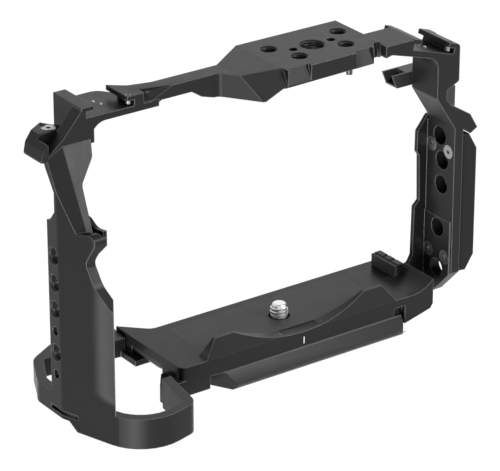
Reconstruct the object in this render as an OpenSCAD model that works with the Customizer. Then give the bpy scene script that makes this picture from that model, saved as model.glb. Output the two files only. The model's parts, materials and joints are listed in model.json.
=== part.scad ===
// Camera cage: a rigid aluminium frame that screws under a camera and carries accessories.
// X runs to the right as seen from the camera's front, Y to the back, Z up.
// The origin is the camera screw's axis at the seat that the camera stands on.

/* [Frame] */
// Height of the top rails above the camera seat
frame_h = 98; // [90:0.5:110]
// From the screw axis to the front plane of the frame
front_depth = 14.5; // [12:0.5:18]
// From the screw axis to the outer wall of the grip side
grip_reach = 94; // [86:0.5:104]
// From the screw axis to the inner face of the upright
upright_reach = 65.6; // [60:0.2:75]
// Radius of the small rounded corners
corner_r = 2.5; // [1:0.1:4]

/* [Base plate] */
// Thickness of the base plate
plate_t = 6.4; // [5:0.1:9]
// From the screw axis to the left end of the base plate
plate_left = 51.5; // [46:0.5:56]
// From the screw axis to the rear edge of the base plate
plate_rear = 17; // [14:0.5:22]
// Thickness of the rubber pad in the camera seat
pad_t = 1; // [0.6:0.1:1.6]
// Height of the lip in front of the camera
lip_h = 6.5; // [4:0.1:9]
// Height of the anti-twist stop at the right end
stop_h = 5; // [3:0.1:8]

/* [Quick-release foot] */
// Width of the dovetail foot across its jaws
foot_w = 37.8; // [37:0.1:38.2]
// Height of the dovetail foot
foot_h = 6.3; // [5.5:0.1:8]
// Length of the dovetail foot to the left of the screw axis
foot_left = 37; // [32:0.5:39]
// Length of the dovetail foot to the right of the screw axis
foot_right = 43.5; // [36:0.5:44]

/* [Battery ring] */
// Thickness of the ring's wall
ring_wall = 3.4; // [2.5:0.1:5]
// Depth of the ring's top edge below the camera seat
ring_drop = 1.5; // [1:0.1:3]

/* [Grip side] */
// Thickness of the post's wall
post_wall = 3.4; // [3:0.1:5.5]
// Height of the post's rim above the camera seat
post_h = 63; // [56:0.5:70]

/* [Cold shoes] */
// Width of a shoe's slot between its walls
shoe_slot_w = 18.7; // [18.3:0.1:19.2]
// Width of the gap between a shoe's lips
shoe_gap_w = 13; // [12.4:0.1:13.6]
// Height of a shoe's slot under its lips
shoe_slot_h = 2.1; // [1.9:0.05:2.6]
// Thickness of a shoe's lips
shoe_lip_t = 1.7; // [1.4:0.1:2.4]
// Tilt of the right shoe, down to the outside
shoe_tilt = 17; // [0:1:25]

/* [Top plate] */
// Thickness of the top plate
top_t = 5.5; // [4.5:0.1:8]
// From the screw axis to the middle hole of the top plate
top_hole_x = 13.9; // [10:0.1:18]

/* [Upright] */
// Thickness of the upright's wall
upright_wall = 3.7; // [3:0.1:5]
// Thickness of the side rail
rail_t = 6.3; // [5:0.1:8]

/* [Threads] */
// Diameter of the small accessory thread, across its crests
quarter_d = 6.35; // [6.35:0.01:6.35]
// Diameter of the large accessory thread, across its crests
three_eighth_d = 9.525; // [9.525:0.005:9.525]
// Height of the camera screw above the seat
screw_h = 5; // [4:0.1:6]

/* [Hidden] */
$fn = 48;

// General values
over = 1; // overrun of a cut
seat_gap = 0.05; // between pieces that are screwed together
slide_gap = 0.2; // between pieces that move past each other
run_gap = 0.05; // radial, between a turning shaft and its hole
arc_step = 12; // degrees between the points of a rounded corner
coat = [0.16, 0.16, 0.17];
steel = [0.75, 0.75, 0.76];
soft = [0.08, 0.08, 0.08];

// Threads: the holes are drawn at the size of their tap drill, with a chamfered mouth
quarter_tap_share = 0.81;
three_eighth_tap_share = 0.84;
hole_mouth = 0.6; // depth of the chamfer at a threaded hole's mouth
pin_hole_d = 3.2;
small_screw_d = 3;
small_head_d = 4.9;
small_head_h = 1.6;
socket_share = 0.6;

// Places on the seams between the frame's limbs
plate_right = 45;
bridge_left = 56;
bridge_right = 34.3;

// Underside of the base plate, and the lens-cleared lip on its front edge
lug_seat_t = 5.1;
ear_reach = 26;
ear_start = 42.5;
lip_bottom_w = 82;
lip_top_w = 72;
lip_gap_w = 56;
lip_foot_t = 4.8;
lip_crest_t = 1.1;
lip_lean = 2.3;
lens_dip = 0.5;
lens_rise = lip_h + lens_dip;
lens_r = (lip_gap_w * lip_gap_w / 4 + lens_rise * lens_rise) / (2 * lens_rise);

// Rubber pad in the seat
pad_left = 37;
pad_right = 38;
pad_rear = 13;

// Dovetail foot
foot_neck_w = 29;
foot_edge_h = 1.75;
foot_corner = 5.9;
foot_slope_h = (foot_w - foot_neck_w) / 2;
foot_neck_h = foot_h - foot_edge_h - foot_slope_h;
foot_screw_x = 27;
foot_screw_y = 8;

// Camera screw, held by a clip in a chamber under the plate
ledge_t = 3;
neck_d = 5;
screw_head_d = 9.6;
screw_head_h = 5.6;
clip_d = 13;
clip_t = 0.9;
clip_groove_d = 8.2;
clip_mouth_share = 0.45;
screw_socket_d = 4;
socket_depth = 2.6;
clip_flange_t = 0.5; // rim of the head above the clip
clip_top = -ledge_t - clip_flange_t - 2 * seat_gap;

// Stored hex key
key_d = 2;
key_long = 17.6;
key_short = 9;
key_front = 1.6;
key_depth = 4.9;
magnet_d = 2.4;
magnet_t = 1.2;

// Battery ring
ring_reach = 38; // from the screw axis to the ring's front
ring_h = plate_t + foot_h - ring_drop;
ring_rear_h = 7;
ring_rear_w = 8;
ring_rise_y = 12;
lug_front_w = 15;
lug_depth = 10;
lug_h = 5.9;

// Corners of the ring in plan, as shares of the grip's reach and of the ring's reach, with radii
// as shares of the small corner radius
ring_corner_shares = [
    [-0.627, -0.905, 2], [-0.879, -1.068, 6.6], [-1, -0.158, 1.2], [-1, 0.253, 2.4],
    [-0.929, 0.621, 3.2], [-0.805, 0.797, 2.4]
];

// Post of the grip side: its outline from the side, as shares of the ring's reach and the
// post's height, with radii as shares of the small corner radius
post_side_shares = [
    [0.008, 0.98], [-0.18, 1.015, 2.4], [-0.342, 0.962, 2.4], [-0.61, 0.992, 1], [-0.447, 0.81, 1.4],
    [-0.535, 0.69, 3], [-0.737, 0.563, 2.4], [-0.737, 0]
];
strip_w = 6.3; // flat strip with the accessory holes
post_rear = 0.3;
post_hole_y = -3;
post_hole_share = [0.788, 0.632, 0.478, 0.224]; // of the post's height
post_pin_share = [0.351, 0.097];
post_slot = [13.5, 1.5]; // length along the wall, height
post_slot_z = -7.3;

// Leg between the post and the shoulder, leaning forward on its way down
leg_low_share = 0.952; // of the post's height
leg_high_share = 0.9; // of the frame's height
leg_low = post_h * leg_low_share;
leg_high = frame_h * leg_high_share;
leg_foot_y = -15;
leg_fold_share = 0.94; // of the leg's height
leg_fold_z = leg_low + leg_fold_share * (leg_high - leg_low);
leg_rear_shares = [[0.008, 0], [-0.118, 0.213], [-0.118, 0.461], [0.008, 0.709], [0.118, 1]];
leg_front_shares = [
    [-1, 0], [-1, 0.84], [-0.93, 1], [-0.819, 1], [-0.819, 0.94], [-0.832, 0.762, 1.2],
    [-0.902, 0.511, 1.2], [-0.913, 0]
];
leg_bevel_w = 6;
leg_bevel_normal = [-0.256, -0.855, 0.455];

// Shoulder and the left shoe
shoulder_t = 5.4;
shoe_front = -0.9;
shoe_depth = 17.4;
shoe_x = 69.1;
shoe_rail_w = 4.7;
shoe_floor_t = 2.4;
shoe_rail_h = 13;
shoe_top = shoe_slot_h + shoe_lip_t;
shoulder_shares = [
    [-0.804, 1], [-0.846, 1], [-0.931, 0.907], [-1, 0.854], [-1, 0.83], [-0.9, 0.8],
    [-0.819, 0.88], [-0.819, 0.937, 2.4], [-0.596, 0.937], [-0.596, 0.961], [-0.804, 0.961]
];
shoe_floor_shares = [[-0.83, 0.43], [-0.745, 0.471, 2], [-0.67, 0.471, 2], [-0.617, 0.3]];
bar_rear_shares = [[-0.665, 0.316], [-0.61, 0.2, 2.4], [-0.52, 0.145, 2]];

// Top bridge: its plan and its front view, as shares of the upright's reach
bar_depth = 6.4;
plate_y = 14.7;
top_raise = 0.7;
ramp_left = 22.5;
ramp_right = 7.5;
bridge_low_shares = [[-0.793, 0.937], [-0.747, 0.956], [-0.564, 0.956, 0.6], [-0.503, 0.929, 0.6],
    [-0.427, 0.914], [-0.242, 0.913], [-0.136, 0.944]];
bridge_front_shares = [[-0.4, -0.062, 1.2], [-0.25, -1], [0.442, -1], [0.48, -0.731], [0.503, -0.662, 0.4],
    [0.523, -0.78]];
facet_point = [-8, -10.6];
facet_normal = [-0.231, -0.828, 0.51];
name_left = 2.5;
name_right = 21.7;
name_facet_lean = 2.4;
hole_front_y = -5.3;
hole_rear_y = 5.8;
hole_front_x = 9.8;
hole_rear_x = 14.65;
hole_mid_y = 0.8;
pin_spacing = 16;

// Side frame, as shares of the upright's reach and the frame's height, seen from the front
arm_low_shares = [[0.523, 0.957], [0.561, 0.963], [0.69, 0.938], [0.8, 0.915], [0.872, 0.9, 2],
    [0.872, 0.748, 0.8]];
upright_knee = 60.1;
block_shares = [[1.018, 0.937, 0.6], [1.018, 0.797, 0.4], [0.939, 0.773, 0.3], [0.933, 0.738, 0.6],
    [0.973, 0.709, 0.6], [1.102, 0.656], [1.154, 0.597], [1.107, 0.579]];
arm_rear = -0.1;
shoe_tilt_x = 46;
shoe_tilt_z = 94.2;
right_shoe_rear = 3;
upright_rear = 2.5;
flange_front = 0.9;
flange_reach = 61.8;
flange_step = 1.4;
flange_shares = [[1, 0.6], [0.994, 0.612], [0.933, 0.561], [0.931, 0.481], [0.947, 0.464], [0.954, 0.284],
    [0.921, 0.262], [0.915, 0.07], [0.895, 0.045], [0.88, 0.035]];
foot_end = 57.7;
foot_block_h = 10.3;
foot_fillet_r = 13.8;
wall_step = 0.4; // how far the wall's lower part stands proud
wall_step_z = 23.5;
wall_hole_d = 6.9;
wall_holes = [[-6.1, 54.8], [-7.7, 45.8], [-7.6, 36.4], [-6.6, 19.4], [-6.5, 3.5]];

// Side rail
rail_gap = 0.3;
rail_front = 14.5;
rail_lean = 1.6;
rail_rear = 9;
rail_low = 3;
rail_high = 56.5;
rail_chamfer = 3;
rail_screws = [[-1.8, 50.2], [-10.9, 50], [-1.8, 9.2], [-10.9, 9]];

// Anti-twist stop
stop_x = 51.7;
stop_w = 4.1;
stop_front = 0.4;
stop_len = 13.8;
stop_pad_t = 1.2;

// Cable clamp behind the upright
clamp_left = 51.3;
clamp_tip = 2;
clamp_right = 73.3;
clamp_front = 0.8;
clamp_w = 6.4;
clamp_low = 73.7;
clamp_h = 5;
clamp_wall = 0.8;
clamp_top_t = 1.4;
clamp_open_x = 55.4; // the top is open from the tip to here
clamp_ear = [60, 64.8, 5.7]; // left, right and height of the ear with the screw
clamp_ear_t = 2.4;
clamp_leg = [64, 77, 61.1, 69.2]; // left, right, bottom and top of the leg
clamp_leg_t = 1.5;
clamp_screw_at = [62.4, 81.3];
clamp_mount_deep = 6;
clamp_jaw_x = 64.4;
clamp_jaw_len = 8;
clamp_jaw_t = 0.9;
clamp_screw_d = 3;
clamp_knob_d = 6.4;
clamp_knob_h = 4;
clamp_collar_d = 4.4;

// Points of an outline: shares times sizes, and a third number gives a corner's radius
function spots(shares, sx, sy) =
    [for (s = shares) len(s) < 3 ? [s.x * sx, s.y * sy] : [s.x * sx, s.y * sy, s.z * corner_r]];
function along(v) = v / norm(v);
function wrap(a) = a > 180 ? a - 360 : a < -180 ? a + 360 : a;
// Arc that rounds the corner b between its neighbours a and c
function corner_arc(a, b, c, r) =
    let (
        u = along(a - b),
        w = along(c - b),
        half = acos(u * w) / 2,
        middle = b + along(u + w) * r / sin(half),
        first = b + u * r / tan(half) - middle,
        last = b + w * r / tan(half) - middle,
        start = atan2(first.y, first.x),
        turn = wrap(atan2(last.y, last.x) - start),
        steps = max(1, ceil(abs(turn) / arc_step))
    )
    [for (i = [0:steps]) middle + r * [cos(start + turn * i / steps), sin(start + turn * i / steps)]];
function flat(p) = [p.x, p.y];
function rounded(p) =
    let (n = len(p))
    [for (i = [0:n - 1])
        each len(p[i]) < 3
            ? [flat(p[i])]
            : corner_arc(flat(p[(i + n - 1) % n]), flat(p[i]), flat(p[(i + 1) % n]), p[i].z)];
// Corners moved inwards by a wall, for an outline that runs clockwise
function inset_corner(a, b, c, d) =
    let (u = along(b - a), w = along(c - b), half = sqrt((1 + u * w) / 2), side = along([u.y + w.y, -u.x - w.x]))
    b + side * d / half;
function inset(p, d) =
    [for (i = [1:len(p) - 2])
        let (q = inset_corner(flat(p[i - 1]), flat(p[i]), flat(p[i + 1]), d))
        [q.x, q.y, max(run_gap, p[i].z - d)]];

// Prisms of an outline: standing, along X with the outline in Y and Z, along Y with it in X and Z
module prism_z(points, z0, z1) {
    translate([0, 0, z0])
        linear_extrude(z1 - z0)
            polygon(rounded(points));
}
module prism_x(points, x0, x1) {
    translate([x0, 0, 0])
        rotate([90, 0, 90])
            linear_extrude(x1 - x0)
                polygon(rounded(points));
}
module prism_y(points, y0, y1) {
    translate([0, y1, 0])
        rotate([90, 0, 0])
            linear_extrude(y1 - y0)
                polygon(rounded(points));
}
module block(x0, x1, y0, y1, z0, z1) {
    translate([x0, y0, z0])
        cube([x1 - x0, y1 - y0, z1 - z0]);
}
// Everything beyond a plane through p that faces n
module beyond(p, n, size) {
    translate(p)
        rotate([0, acos(n.z / norm(n)), atan2(n.y, n.x)])
            translate([-size / 2, -size / 2, 0])
                cube(size);
}
// Hole along Z with a chamfered mouth at z1 and, if asked, another at z0
module tapped_z(x, y, z0, z1, d, mouth) {
    translate([x, y, z0 - over])
        cylinder(d = d, h = z1 - z0 + 2 * over);
    translate([x, y, z1 - mouth])
        cylinder(d1 = d, d2 = d + 2 * mouth + 2 * over, h = mouth + over);
}
module tapped_x(x0, x1, y, z, d, mouth) {
    translate([x0 - over, y, z])
        rotate([0, 90, 0])
            cylinder(d = d, h = x1 - x0 + 2 * over);
    translate([x1 - mouth, y, z])
        rotate([0, 90, 0])
            cylinder(d1 = d, d2 = d + 2 * mouth + 2 * over, h = mouth + over);
}
// Countersunk screw pointing up, with its head's face at z = 0
module flush_screw(d, head_d, head_h, l) {
    difference() {
        union() {
            cylinder(d1 = head_d, d2 = d, h = head_h);
            cylinder(d = d, h = l);
        }
        translate([0, 0, -over])
            cylinder(d = socket_share * d, h = socket_share * head_h + over, $fn = 6);
    }
}
module flush_hole(d, head_d, head_h, l) {
    translate([0, 0, -over])
        cylinder(d = head_d + 2 * seat_gap, h = over);
    cylinder(d1 = head_d + 2 * seat_gap, d2 = d + 2 * seat_gap, h = head_h);
    cylinder(d = d + 2 * seat_gap, h = l + over);
}

function wall_x() = upright_reach + upright_wall;
function screw_face(p) = upright_reach - (p.y < wall_step_z ? wall_step : 0);

// Pieces of the base
lip_back = front_depth - lip_foot_t;
plate_plan = [
    [-plate_left, -front_depth, corner_r], [plate_right, -front_depth], [plate_right, plate_rear],
    [-ear_start, plate_rear, 2 * corner_r], [-plate_left, ear_reach]
];
lug_right = 39.5;
key_x = -plate_left + key_d / 2 + slide_gap;
key_wall = -plate_left + key_d + 2 * slide_gap;
key_rear = key_long - key_front;
foot_screw_places = [for (i = [-1, 1], j = [-1, 1]) [i * foot_screw_x, j * foot_screw_y]];
ring_screw_places = [[-45.5, -9.5, lug_seat_t + lug_h], [-45, 13, ring_rear_h + ring_drop],
    [-48.3, 19.8, ring_rear_h + ring_drop]];
ring_screw_top = -1.3;

module seat_lip() {
    foot = lip_bottom_w / 2;
    crest = lip_top_w / 2;
    intersection() {
        prism_y([[-foot, -over], [-foot, 0], [-crest, lip_h], [crest, lip_h], [foot, 0], [foot, -over]],
            -front_depth - over, -lip_back + over);
        prism_x([[-front_depth, -over], [-front_depth, 0], [-front_depth + lip_lean, lip_h],
            [-front_depth + lip_lean + lip_crest_t, lip_h], [-lip_back, 0], [-lip_back, -over]],
            -foot, foot);
    }
}
module key_seat() {
    top = -key_depth + key_d / 2 + slide_gap;
    half = key_d / 2 + slide_gap;
    block(-plate_left - over, key_wall, -key_front - half, key_rear + slide_gap, -plate_t - over, top);
    block(-plate_left - over, key_x + key_short + slide_gap, -key_front - half, -key_front + half,
        -plate_t - over, top);
}
module magnet_places() {
    for (s = [0.3, 0.75])
        translate([key_wall, s * key_rear, -key_depth])
            rotate([0, 90, 0])
                children();
}
module base_plate() {
    color(coat)
        difference() {
            union() {
                prism_z(plate_plan, -plate_t, 0);
                seat_lip();
            }
            translate([0, -front_depth - over, lens_r - lens_dip])
                rotate([-90, 0, 0])
                    cylinder(r = lens_r, h = lip_foot_t + over, $fn = 180);
            block(-pad_left, pad_right, -lip_back + slide_gap, pad_rear, -pad_t, over);
            cylinder(d = quarter_d + 2 * slide_gap, h = 3 * plate_t, center = true);
            translate([0, 0, -plate_t - over])
                cylinder(d = clip_d + 2 * slide_gap, h = plate_t - ledge_t + over);
            for (p = foot_screw_places)
                translate([p.x, p.y, -plate_t - over])
                    cylinder(d = small_screw_d + 2 * seat_gap, h = plate_t - ledge_t + 2 * over);
            block(-plate_left - over, -lug_right, -front_depth - over, -front_depth + lug_depth,
                -plate_t - over, -lug_seat_t);
            for (p = ring_screw_places)
                translate([p.x, p.y, -p.z])
                    cylinder(d = small_screw_d + 2 * seat_gap, h = p.z + ring_screw_top);
            block(plate_right - lap_low_l - seat_gap, plate_right + over, -front_depth - over,
                plate_rear + over, -plate_t - over, -plate_t / 2 + seat_gap);
            lap_screw_places_low()
                cylinder(d = lap_screw_d + 2 * seat_gap, h = screw_long + slide_gap);
            key_seat();
            magnet_places()
                cylinder(d = magnet_d + 2 * seat_gap, h = magnet_t + seat_gap);
        }
}
module seat_pad() {
    color(soft)
        difference() {
            block(-pad_left + seat_gap, pad_right - seat_gap, -lip_back + slide_gap + seat_gap,
                pad_rear - seat_gap, -pad_t, 0);
            cylinder(d = quarter_d + 2 * slide_gap + over, h = 3 * plate_t, center = true);
        }
}
module quick_release_foot() {
    half = foot_w / 2;
    neck = foot_neck_w / 2;
    top = -plate_t;
    low = -plate_t - foot_h;
    color(coat)
        difference() {
            intersection() {
                prism_x([[-neck, top], [-neck, top - foot_neck_h], [-half, low + foot_edge_h],
                    [-half + foot_edge_h, low], [half - foot_edge_h, low], [half, low + foot_edge_h],
                    [neck, top - foot_neck_h], [neck, top]], -foot_left, foot_right);
                prism_z([[-foot_left, -neck + foot_corner], [-foot_left + foot_corner, -half],
                    [foot_right, -half, 2 * corner_r], [foot_right, half, 2 * corner_r],
                    [-foot_left + foot_corner, half], [-foot_left, neck - foot_corner]], low - over, top + over);
            }
            translate([0, 0, low - over])
                cylinder(d = screw_head_d + 2 * slide_gap, h = foot_h + 2 * over);
            for (p = foot_screw_places)
                translate([p.x, p.y, low])
                    flush_hole(small_screw_d, small_head_d, small_head_h, foot_h);
        }
}
module foot_screws() {
    color(steel)
        for (p = foot_screw_places)
            translate([p.x, p.y, -plate_t - foot_h + seat_gap])
                flush_screw(small_screw_d, small_head_d, small_head_h, foot_h + plate_t - ledge_t);
}
module camera_screw() {
    head_top = -ledge_t - seat_gap;
    color(steel)
        difference() {
            union() {
                cylinder(d = quarter_d, h = screw_h);
                translate([0, 0, head_top - seat_gap])
                    cylinder(d = neck_d, h = -head_top + 2 * seat_gap);
                translate([0, 0, head_top - screw_head_h])
                    cylinder(d = screw_head_d, h = screw_head_h);
            }
            translate([0, 0, clip_top - clip_t - seat_gap])
                difference() {
                    cylinder(d = screw_head_d + 2 * over, h = clip_t + 2 * seat_gap);
                    translate([0, 0, -over])
                        cylinder(d = clip_groove_d, h = clip_t + 3 * over);
                }
            translate([0, 0, head_top - screw_head_h - over])
                cylinder(d = screw_socket_d, h = socket_depth + over, $fn = 6);
        }
}
module screw_clip() {
    color(steel)
        translate([0, 0, clip_top - clip_t])
            difference() {
                cylinder(d = clip_d, h = clip_t);
                translate([0, 0, -over])
                    cylinder(d = clip_groove_d + 2 * run_gap, h = clip_t + 2 * over);
                translate([0, -clip_mouth_share * clip_d / 2, -over])
                    cube([clip_d, clip_mouth_share * clip_d, clip_t + 2 * over]);
            }
}
module hex_key() {
    color(steel)
        translate([key_x + key_d, -key_front + key_d, -key_depth]) {
            rotate([0, 0, 180])
                rotate_extrude(angle = 90)
                    translate([key_d, 0])
                        circle(d = key_d, $fn = 6);
            translate([-key_d, 0, 0])
                rotate([-90, 0, 0])
                    cylinder(d = key_d, h = key_long - key_d, $fn = 6);
            translate([0, -key_d, 0])
                rotate([0, 90, 0])
                    rotate([0, 0, 90])
                        cylinder(d = key_d, h = key_short - key_d, $fn = 6);
        }
}
module key_magnets() {
    color(steel)
        magnet_places()
            cylinder(d = magnet_d, h = magnet_t);
}
module ring_screws() {
    color(steel)
        for (p = ring_screw_places)
            translate([p.x, p.y, seat_gap - p.z])
                flush_screw(small_screw_d, small_head_d, small_head_h, p.z + ring_screw_top - 2 * seat_gap);
}

// Grip side: battery ring, post, leg and left shoe in one piece
ring_plan = concat([[-plate_left - ring_wall - seat_gap - 0.6, -front_depth]],
    spots(ring_corner_shares, grip_reach, ring_reach), [[-plate_left - seat_gap, 27.5]]);
post_plan = inset(ring_plan, post_wall);
ring_inner = inset(ring_plan, ring_wall);
ring_rear_in = [[-84, 21.8], [-50, 18.9]];
ring_throat = [[-50, -13.9], [-58.9, -13.9]];
front_lug_plan = [[-58.9, -13.9], [-58.9, -12.4], [-53.5, -5, 1.2], [-39.5, -4.5], [-39.5, -14.5],
    [-55.6, -14.5]];
rear_lug_plan = [[-54, 10], [-54, 24], [-50, 24], [-40, 14], [-40, 10]];
post_inner_x = 78;
front_turn = 58; // degrees, of the post's front edge in plan
cup_floor = 59.6;
cup_rim_t = 1.6;
cup_front = 2.6; // how far the pocket ends behind the horn's tip
cup_section = [[-96, 53.5], [-86.8, 53.5], [-82.5, 59.4, 0.8], [-82.5, 63, 1], [-84, 64], [-96, 64]];
ring_side_rise = 9.5;
post_foot = -3;
shoe_stop_left = [-61, 1];
shoe_balls_left = [[-68.8, 10.2], [-67.8, 6.9]];
stop_screw_d = 2;
stop_screw_l = 3.4;
ball_d = 1.5;
ball_deep = 2;
lug_ear = [-92, -82.5, -0.5, 12.5, 79.5, 83.2];
lug_screw_x = -87.5;
lug_screw_y = 8.3;
lap_l = 6;
lap_t = 2.4;
lap_front = -10.3;
shoe_bar_plan = concat([[-shoe_x + shoe_gap_w / 2, shoe_front], [-shoe_x + shoe_gap_w / 2, 12]],
    spots(bar_rear_shares, grip_reach, ring_reach));

module ring() {
    low = -plate_t - foot_h;
    difference() {
        prism_z(ring_plan, low, -ring_drop);
        prism_z(concat([for (i = [0:len(ring_inner) - 3]) ring_inner[i]], ring_rear_in, ring_throat),
            low - over, over);
        prism_x([[-ring_rise_y, low], [-ring_side_rise + 0.7, -ring_side_rise], [11.5, -ring_side_rise],
            [12.5, -ring_rear_h - ring_drop], [ring_reach, -ring_rear_h - ring_drop],
            [ring_reach, low - over], [-ring_rise_y, low - over]], -grip_reach - over, over);
    }
}
// How far the post's outer face leans inwards towards the front, and where it meets the front edge
post_slant = (ring_corner_shares[1].x - ring_corner_shares[2].x) * grip_reach
    / ((ring_corner_shares[2].y - ring_corner_shares[1].y) * ring_reach);
post_edge_x = -grip_reach + (ring_corner_shares[2].y - post_side_shares[7].x) * ring_reach * post_slant;
module post() {
    side = spots(post_side_shares, ring_reach, post_h);
    intersection() {
        difference() {
            prism_z(ring_plan, post_foot, frame_h);
            prism_z(concat(post_plan, [[-post_inner_x, 27]]), post_foot - over, frame_h + over);
        }
        prism_x(concat(side, [[side[7].x, post_foot], [post_rear, post_foot]]), -grip_reach - over,
            -post_inner_x);
        translate([post_edge_x, side[7].x, post_foot - over])
            rotate([0, 0, front_turn])
                translate([-ring_reach, 0, 0])
                    cube([2 * ring_reach, 2 * ring_reach, frame_h]);
    }
}
// Thick top of the post, with a shallow pocket behind its rim
module cup() {
    side = spots(post_side_shares, ring_reach, post_h);
    difference() {
        intersection() {
            prism_z(ring_plan, post_foot, frame_h);
            prism_y(cup_section, -ring_reach, post_rear);
            prism_x(concat([side[0], side[1], side[2], side[3], side[4]], [[post_rear, cup_floor - 8]]),
                -grip_reach - over, -post_inner_x);
            translate([post_edge_x - 0.6, side[7].x + 2.1, 0])
                rotate([0, 0, front_turn])
                    translate([-ring_reach, 0, 0])
                        cube([2 * ring_reach, 2 * ring_reach, frame_h]);
        }
        intersection() {
            prism_z(inset(ring_plan, cup_rim_t), cup_floor, frame_h);
            block(-grip_reach, -84, side[3].x + cup_front, -6, cup_floor, frame_h);
            translate([post_edge_x - 0.6, side[7].x + 2.1 + cup_front, 0])
                rotate([0, 0, front_turn])
                    translate([-ring_reach, 0, 0])
                        cube([2 * ring_reach, 2 * ring_reach, frame_h]);
        }
    }
}
module leg() {
    rear = [for (s = leg_rear_shares) [s.x * ring_reach, leg_low + s.y * (leg_high - leg_low)]];
    front = [for (s = leg_front_shares) len(s) < 3
        ? [s.x * grip_reach, leg_low + s.y * (leg_high - leg_low)]
        : [s.x * grip_reach, leg_low + s.y * (leg_high - leg_low), s.z * corner_r]];
    difference() {
        intersection() {
            prism_x(concat([[shoe_front, leg_high], [shoe_front, leg_fold_z], [leg_foot_y, leg_low]], rear),
                -grip_reach - over, -post_inner_x + over);
            prism_y(front, -front_depth - over, front_depth);
            prism_z(ring_plan, leg_low - over, frame_h);
        }
        beyond([-grip_reach + leg_bevel_w, shoe_front, leg_fold_z], leg_bevel_normal, frame_h);
    }
}
module left_shoe() {
    base_z = frame_h - shoe_top;
    floor_z = base_z - shoe_floor_t;
    half = shoe_slot_w / 2;
    gap = shoe_gap_w / 2;
    difference() {
        union() {
            prism_y(spots(shoulder_shares, grip_reach, frame_h), shoe_front, shoe_front + shoulder_t);
            block(-shoe_x - gap - shoe_rail_w, -shoe_x - gap, shoe_front, shoe_front + shoe_depth,
                frame_h - shoe_rail_h, frame_h);
            prism_z(concat([[-shoe_x - gap - shoe_rail_w, shoe_front],
                [-shoe_x - gap - shoe_rail_w, shoe_front + shoe_depth]],
                spots(shoe_floor_shares, grip_reach, ring_reach), [[-bridge_left, shoe_front]]),
                floor_z, base_z);
            intersection() {
                prism_z(concat(shoe_bar_plan, [[-48.9, shoe_front]]), floor_z, frame_h);
                block(-grip_reach, -bridge_left, -front_depth, front_depth, floor_z, frame_h);
            }
        }
        block(-shoe_x - half, -shoe_x + half, shoe_front - over, shoe_front + shoe_depth + over,
            base_z, base_z + shoe_slot_h);
        block(-shoe_x - gap, -shoe_x + gap, shoe_front - over, shoe_front + shoe_depth + over,
            base_z, frame_h + over);
        block(-shoe_x - gap - 1.4, -shoe_x, shoe_front + shoulder_t, shoe_front + shoe_depth + over,
            frame_h - shoe_rail_h - over, floor_z);
    }
}
module grip_frame() {
    base_z = frame_h - shoe_top;
    color(coat)
        difference() {
            union() {
                ring();
                post();
                cup();
                leg();
                left_shoe();
                prism_z(front_lug_plan, -lug_seat_t - lug_h, -lug_seat_t);
                prism_z(rear_lug_plan, -ring_rear_h - ring_drop, -plate_t);
                block(lug_ear[0], lug_ear[1], lug_ear[2], lug_ear[3], lug_ear[4], lug_ear[5]);
                block(-bridge_left - over, -bridge_left + lap_l, shoe_front, bar_depth - over,
                    base_z - shoe_floor_t, base_z);
            }
            for (s = post_hole_share)
                mirror([1, 0, 0])
                    tapped_x(grip_reach - post_wall, grip_reach, post_hole_y, s * post_h,
                        quarter_tap_share * quarter_d, hole_mouth);
            for (s = post_pin_share)
                mirror([1, 0, 0])
                    tapped_x(grip_reach - post_wall, grip_reach, post_hole_y, s * post_h, pin_hole_d, 0);
            block(-grip_reach - over, -grip_reach + ring_wall + over, -12.5, -12.5 + post_slot.x,
                post_slot_z - post_slot.y / 2, post_slot_z + post_slot.y / 2);
            for (p = ring_screw_places)
                translate([p.x, p.y, -p.z])
                    flush_hole(small_screw_d, small_head_d, small_head_h, p.z + ring_screw_top);
            translate([shoe_stop_left.x, shoe_stop_left.y, frame_h - stop_screw_l])
                cylinder(d = stop_screw_d, h = stop_screw_l + over);
            for (p = shoe_balls_left)
                translate([p.x, p.y, base_z - ball_deep])
                    cylinder(d = ball_d + 2 * seat_gap, h = ball_deep + over);
            translate([lug_screw_x, lug_screw_y, lug_ear[4] - over])
                cylinder(d = small_screw_d, h = frame_h - lug_ear[4]);
            lap_screw_places_left()
                flush_hole(lap_screw_d, lap_head_d, lap_head_h, lap_t);
        }
}
module lap_screw_places_left() {
    for (y = [2.2])
        translate([-bridge_left + lap_l / 2, y, frame_h - shoe_top - shoe_floor_t])
            children();
}
module lap_screw_places_right() {
    for (y = [-7.4, -2.2])
        translate([bridge_right - lap_l / 2, y, top_low])
            children();
}
module lap_screw_places_low() {
    for (y = [-8.5, 10])
        translate([plate_right - lap_low_l / 2, y, -plate_t])
            children();
}
top_low = frame_h + top_raise - top_t;
lap_screw_d = 2.5;
lap_head_d = 4.2;
lap_head_h = 1.2;
screw_long = 5;
screw_short = 4;

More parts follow.
